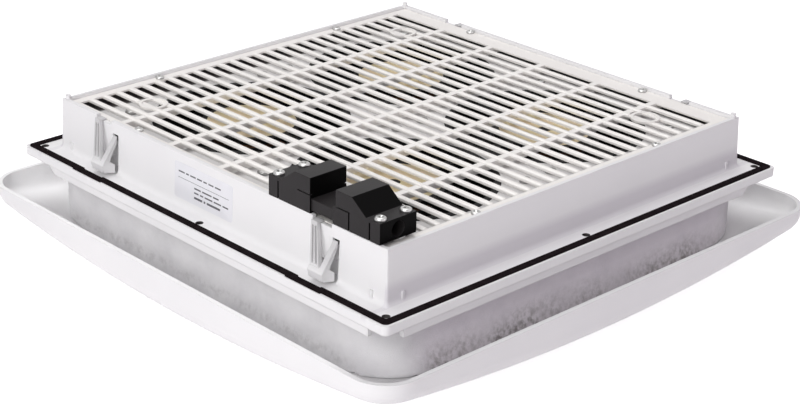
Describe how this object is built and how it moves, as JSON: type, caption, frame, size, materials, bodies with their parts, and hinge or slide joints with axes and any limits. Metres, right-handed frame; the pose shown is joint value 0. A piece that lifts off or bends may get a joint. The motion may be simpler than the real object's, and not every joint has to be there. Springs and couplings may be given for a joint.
{
  "type": "enclosure roof fan",
  "caption": "Square roof exhaust fan for an enclosure: domed rain hood, flanged box with snap clips and gasket, slotted grille over axial fans, fleece filter and plug connector.",
  "frame": {"origin": "centre of the roof cut-out in the plane of the flange's upper face, where the roof sheet lies", "axes": "+Z points out of the hood into the enclosure, so the part lies on its hood; +X runs along the grille's slats; the -Y wall carries the connector, near +X"},
  "size_m": [0.3636, 0.3636, 0.1107],
  "materials": {
    "housing_grey": "light grey moulded plastic with a fine satin grain",
    "gasket_black": "matt black foam rubber",
    "filter_fleece": "mottled grey-white non-woven fleece",
    "fan_black": "black glass-filled plastic, dull",
    "motor_core": "lacquered steel stack and copper winding",
    "connector_black": "black moulded plastic with a soft sheen",
    "screw_steel": "bright zinc-plated steel",
    "contact_brass": "plated contact metal"
  },
  "bodies": {
    "hood": {"hood": "housing_grey", "filter_mat": "filter_fleece"},
    "chassis": {"base_frame": "housing_grey", "gasket": "gasket_black", "grille": "housing_grey", "grille_screws": "screw_steel", "fan_screws": "screw_steel", "filter_rail_front": "housing_grey", "filter_rail_right": "housing_grey", "filter_rail_rear": "housing_grey", "filter_rail_left": "housing_grey", "connector_socket": "connector_black", "socket_contacts": "contact_brass", "socket_screws": "screw_steel", "fan_frame_1": "fan_black", "fan_bearings_1": "screw_steel", "fan_stator_1": "motor_core", "fan_frame_2": "fan_black", "fan_bearings_2": "screw_steel", "fan_stator_2": "motor_core", "fan_frame_3": "fan_black", "fan_bearings_3": "screw_steel", "fan_stator_3": "motor_core", "fan_frame_4": "fan_black", "fan_bearings_4": "screw_steel", "fan_stator_4": "motor_core"},
    "rotor_1": {"fan_impeller_1": "fan_black", "fan_shaft_1": "screw_steel"},
    "rotor_2": {"fan_impeller_2": "fan_black", "fan_shaft_2": "screw_steel"},
    "rotor_3": {"fan_impeller_3": "fan_black", "fan_shaft_3": "screw_steel"},
    "rotor_4": {"fan_impeller_4": "fan_black", "fan_shaft_4": "screw_steel"},
    "plug": {"connector_plug": "connector_black", "plug_pins": "contact_brass", "plug_screws": "screw_steel"},
    "clip_1": {"roof_clip_1": "housing_grey"},
    "clip_2": {"roof_clip_2": "housing_grey"},
    "clip_3": {"roof_clip_3": "housing_grey"},
    "clip_4": {"roof_clip_4": "housing_grey"}
  },
  "joints": [
    {"name": "hood_lift", "type": "slide", "parent": "hood", "child": "chassis", "axis": [0, 0, 1], "range_m": [0, 0.08]},
    {"name": "fan_spin_1", "type": "hinge", "parent": "chassis", "child": "rotor_1", "pos_m": [0.063, -0.063, 0], "axis": [0, 0, 1], "continuous": true},
    {"name": "fan_spin_2", "type": "hinge", "parent": "chassis", "child": "rotor_2", "pos_m": [0.063, 0.063, 0], "axis": [0, 0, 1], "continuous": true},
    {"name": "fan_spin_3", "type": "hinge", "parent": "chassis", "child": "rotor_3", "pos_m": [-0.063, 0.063, 0], "axis": [0, 0, 1], "continuous": true},
    {"name": "fan_spin_4", "type": "hinge", "parent": "chassis", "child": "rotor_4", "pos_m": [-0.063, -0.063, 0], "axis": [0, 0, 1], "continuous": true},
    {"name": "plug_pull", "type": "slide", "parent": "chassis", "child": "plug", "axis": [1, 0, 0], "range_m": [0, 0.03]},
    {"name": "clip_flex_1", "type": "hinge", "parent": "chassis", "child": "clip_1", "pos_m": [-0.098, -0.1465, 0.0306], "axis": [1, 0, 0], "range_deg": [0, 15], "stiffness_Nm_per_rad": 0.6},
    {"name": "clip_flex_2", "type": "hinge", "parent": "chassis", "child": "clip_2", "pos_m": [0.098, -0.1465, 0.0306], "axis": [1, 0, 0], "range_deg": [0, 15], "stiffness_Nm_per_rad": 0.6},
    {"name": "clip_flex_3", "type": "hinge", "parent": "chassis", "child": "clip_3", "pos_m": [-0.098, 0.1465, 0.0306], "axis": [-1, 0, 0], "range_deg": [0, 15], "stiffness_Nm_per_rad": 0.6},
    {"name": "clip_flex_4", "type": "hinge", "parent": "chassis", "child": "clip_4", "pos_m": [0.098, 0.1465, 0.0306], "axis": [-1, 0, 0], "range_deg": [0, 15], "stiffness_Nm_per_rad": 0.6}
  ]
}
